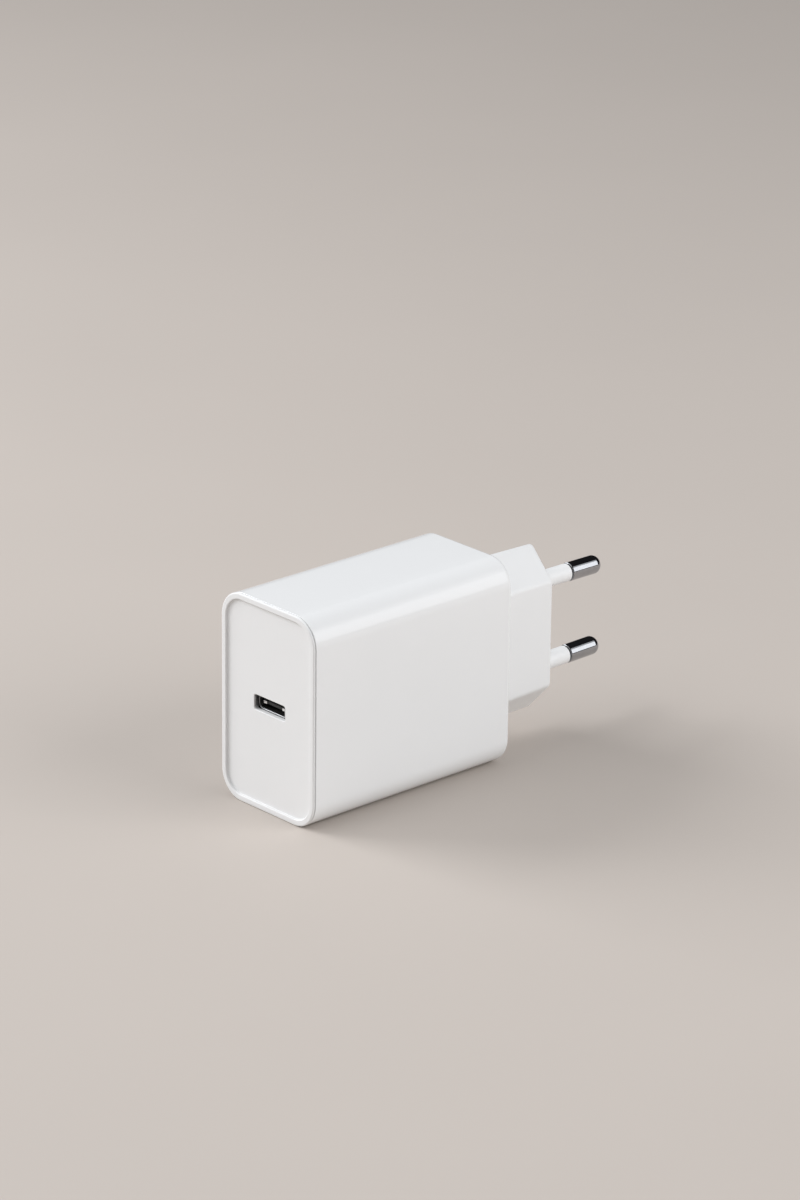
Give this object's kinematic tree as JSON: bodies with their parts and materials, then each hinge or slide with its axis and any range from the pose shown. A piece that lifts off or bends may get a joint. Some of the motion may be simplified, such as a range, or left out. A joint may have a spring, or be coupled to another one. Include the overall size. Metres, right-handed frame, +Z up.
{
  "type": "usb wall charger",
  "caption": "Compact white box charger with a port slot in its sunken front panel and a fixed plug block with round pins at the rear.",
  "frame": {"origin": "under the middle of the whole length, on the surface that the charger stands on", "axes": "+Y from the port face towards the pins, +X to the right when looking at the pins from the port side, +Z up the tall side of the body"},
  "size_m": [0.0278, 0.091, 0.0444],
  "materials": {
    "white_shell": "satin white, very fine moulded texture",
    "white_cover": "satin white, very fine moulded texture",
    "white_plug": "satin white",
    "pin_metal": "bright nickel plate",
    "pin_sleeve": "smooth white",
    "contact_brass": "rolled strip",
    "port_steel": "drawn steel, dull nickel plate",
    "latch_steel": "bright edge",
    "tongue_plastic": "smooth black",
    "board": "green solder mask",
    "ferrite": "ground ferrite",
    "black_plastic": "moulded",
    "copper_wire": "enamelled wire",
    "yellow_tape": "polyester tape",
    "capacitor_sleeve": "shrunk sleeve",
    "capacitor_can": "drawn can",
    "film_box": "moulded box",
    "fuse_body": "moulded box",
    "blue_epoxy": "dipped",
    "green_epoxy": "dipped",
    "white_package": "moulded",
    "chip_package": "moulded",
    "thermal_rubber": "soft pad",
    "spreader_aluminium": "rolled sheet",
    "insulating_film": "smooth film"
  },
  "bodies": {
    "root": {"bridge_rectifier": "chip_package", "bulk_capacitor_lower": "capacitor_sleeve", "bulk_capacitor_middle": "capacitor_sleeve", "bulk_capacitor_upper": "capacitor_sleeve", "choke_core": "ferrite", "choke_winding_lower": "copper_wire", "choke_winding_upper": "copper_wire", "film_capacitor": "film_box", "front_cover": "white_cover", "heat_spreader": "spreader_aluminium", "insulating_sheet": "insulating_film", "line_fuse": "fuse_body", "live_contact_strip": "contact_brass", "live_pin": "pin_metal", "live_pin_sleeve": "pin_sleeve", "main_board": "board", "main_housing": "white_shell", "neutral_contact_strip": "contact_brass", "neutral_pin": "pin_metal", "neutral_pin_sleeve": "pin_sleeve", "optocoupler": "white_package", "output_capacitor_lower": "capacitor_can", "output_capacitor_upper": "capacitor_can", "plug_body": "white_plug", "port_board": "board", "port_latch_frame": "latch_steel", "port_shell": "port_steel", "port_tongue": "tongue_plastic", "protocol_chip": "chip_package", "safety_capacitor": "blue_epoxy", "surge_disc": "green_epoxy", "switch_controller": "chip_package", "sync_rectifier": "chip_package", "thermal_pad": "thermal_rubber", "transformer_bobbin": "black_plastic", "transformer_core_front": "ferrite", "transformer_core_rear": "ferrite", "transformer_tape": "yellow_tape", "transformer_winding": "copper_wire"}
  },
  "joints": []
}
